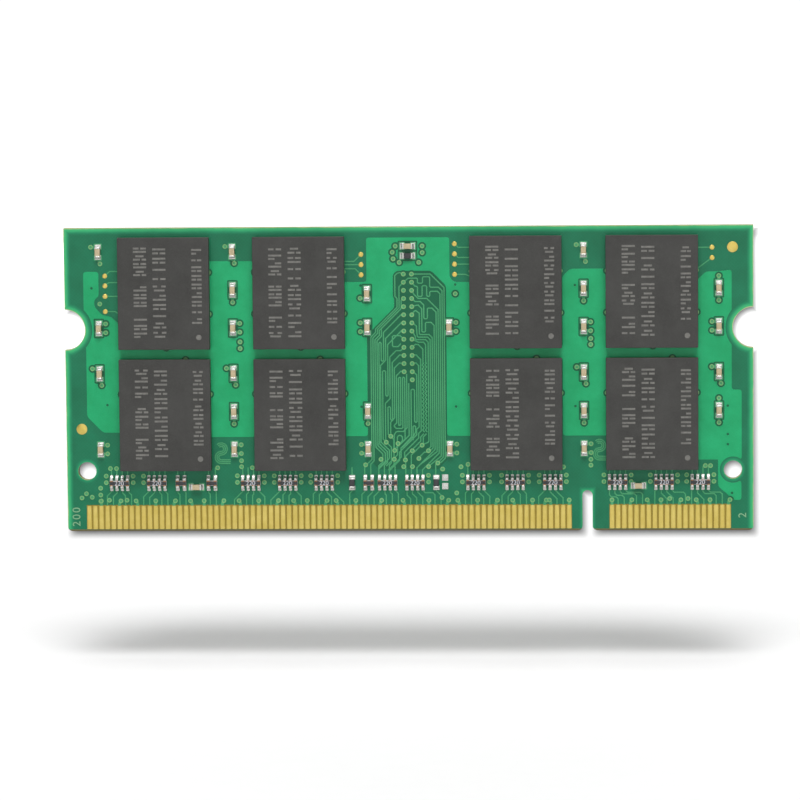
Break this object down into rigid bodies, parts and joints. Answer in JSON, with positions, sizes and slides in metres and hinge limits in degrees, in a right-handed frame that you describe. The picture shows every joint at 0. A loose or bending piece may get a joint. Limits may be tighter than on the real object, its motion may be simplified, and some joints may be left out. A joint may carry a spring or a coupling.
{
  "type": "ram module",
  "caption": "Small laptop memory board: a notched circuit board with memory packages on both sides and a row of gold edge contacts that plugs into a socket.",
  "frame": {"origin": "middle of the contact edge: half way along the board, in its mid plane, at the lowest point", "axes": "+Z from the contact edge up to the opposite edge, +X along the edge towards the key slot, -Y out of the front, which carries the even-numbered contacts"},
  "size_m": [0.0676, 0.0032, 0.03],
  "materials": {
    "solder_mask": "green solder mask over glass-fibre laminate",
    "gold_plating": "satin gold plating",
    "mould_compound": "matt moulded epoxy",
    "capacitor_ceramic": "fired ceramic with tinned ends",
    "resistor_glaze": "black glaze with tinned terminals"
  },
  "bodies": {
    "root": {"circuit_board": "solder_mask", "contacts_front_long": "gold_plating", "contacts_front_short": "gold_plating", "contacts_back_long": "gold_plating", "contacts_back_short": "gold_plating", "memory_package_front_1": "mould_compound", "memory_package_front_2": "mould_compound", "memory_package_front_3": "mould_compound", "memory_package_front_4": "mould_compound", "memory_package_front_5": "mould_compound", "memory_package_front_6": "mould_compound", "memory_package_front_7": "mould_compound", "memory_package_front_8": "mould_compound", "memory_package_back_1": "mould_compound", "memory_package_back_2": "mould_compound", "memory_package_back_3": "mould_compound", "memory_package_back_4": "mould_compound", "memory_package_back_5": "mould_compound", "memory_package_back_6": "mould_compound", "memory_package_back_7": "mould_compound", "memory_package_back_8": "mould_compound", "identification_chip": "mould_compound", "resistor_array_1": "resistor_glaze", "resistor_array_2": "resistor_glaze", "resistor_array_3": "resistor_glaze", "resistor_array_4": "resistor_glaze", "resistor_array_5": "resistor_glaze", "resistor_array_6": "resistor_glaze", "resistor_array_7": "resistor_glaze", "resistor_array_8": "resistor_glaze", "resistor_array_9": "resistor_glaze", "resistor_array_10": "resistor_glaze", "resistor_array_11": "resistor_glaze", "resistor_array_12": "resistor_glaze", "resistor_array_13": "resistor_glaze", "resistor_pair_1": "resistor_glaze", "resistor_pair_2": "resistor_glaze", "resistor_pair_3": "resistor_glaze", "resistor_1": "resistor_glaze", "resistor_2": "resistor_glaze", "filter_resistor": "resistor_glaze", "clock_capacitor_left": "capacitor_ceramic", "clock_capacitor_right": "capacitor_ceramic", "filter_capacitor": "capacitor_ceramic", "capacitor_outer_left_upper_top": "capacitor_ceramic", "capacitor_outer_left_upper_bottom": "capacitor_ceramic", "capacitor_outer_left_lower_top": "capacitor_ceramic", "capacitor_outer_left_lower_bottom": "capacitor_ceramic", "capacitor_inner_left_upper_top": "capacitor_ceramic", "capacitor_inner_left_upper_middle": "capacitor_ceramic", "capacitor_inner_left_upper_bottom": "capacitor_ceramic", "capacitor_inner_left_lower_top": "capacitor_ceramic", "capacitor_inner_left_lower_middle": "capacitor_ceramic", "capacitor_inner_left_lower_bottom": "capacitor_ceramic", "capacitor_inner_right_upper_top": "capacitor_ceramic", "capacitor_inner_right_upper_middle": "capacitor_ceramic", "capacitor_inner_right_upper_bottom": "capacitor_ceramic", "capacitor_inner_right_lower_top": "capacitor_ceramic", "capacitor_inner_right_lower_middle": "capacitor_ceramic", "capacitor_inner_right_lower_bottom": "capacitor_ceramic"}
  },
  "joints": []
}
